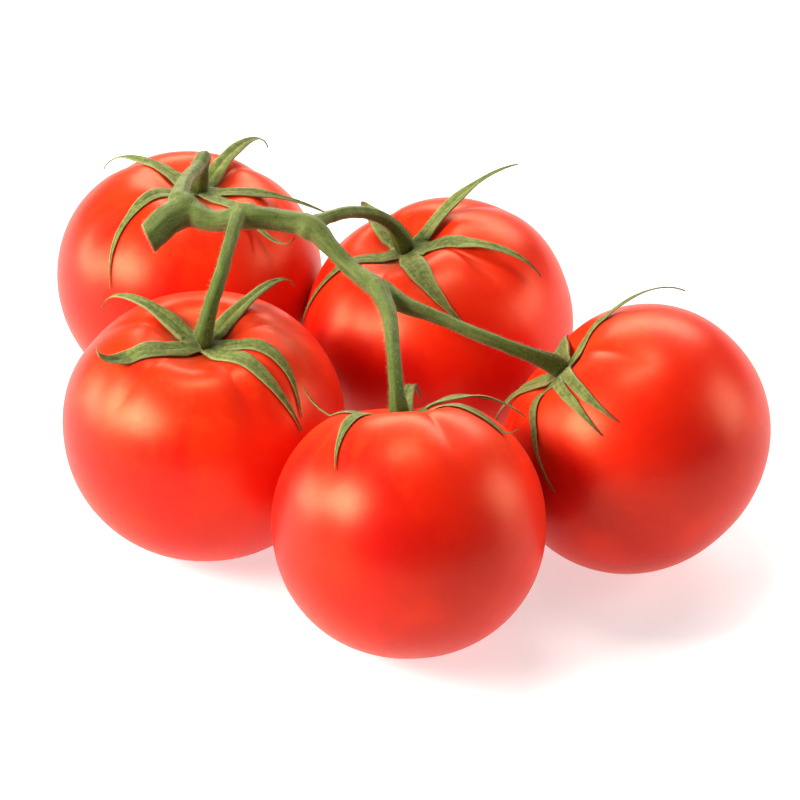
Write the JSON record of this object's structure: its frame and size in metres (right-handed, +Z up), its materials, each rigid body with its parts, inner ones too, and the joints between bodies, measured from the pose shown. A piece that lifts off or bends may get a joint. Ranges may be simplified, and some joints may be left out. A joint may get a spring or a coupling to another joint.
{
  "type": "vine tomato",
  "caption": "Picked bunch of round ripe tomatoes still joined to their green vine, each under a star of curling sepals, lying on its fruits with the stem on top.",
  "frame": {"origin": "on the resting surface, under the middle of the bunch's bounding box", "axes": "+Z up, away from the resting surface; +Y the longest way across the bunch, away from the viewer; +X to the viewer's right"},
  "size_m": [0.1722, 0.1761, 0.0772],
  "materials": {
    "tomato_skin": "smooth waxy ripe skin",
    "calyx_green": "matt, finely hairy leaf",
    "vine_green": "matt, finely hairy stem"
  },
  "bodies": {
    "root": {"vine_stem": "vine_green", "fruit_back_left": "tomato_skin", "calyx_back_left": "calyx_green", "fruit_front_left": "tomato_skin", "calyx_front_left": "calyx_green", "fruit_front_mid": "tomato_skin", "calyx_front_mid": "calyx_green", "fruit_back_right": "tomato_skin", "calyx_back_right": "calyx_green", "fruit_right": "tomato_skin", "calyx_right": "calyx_green"}
  },
  "joints": []
}
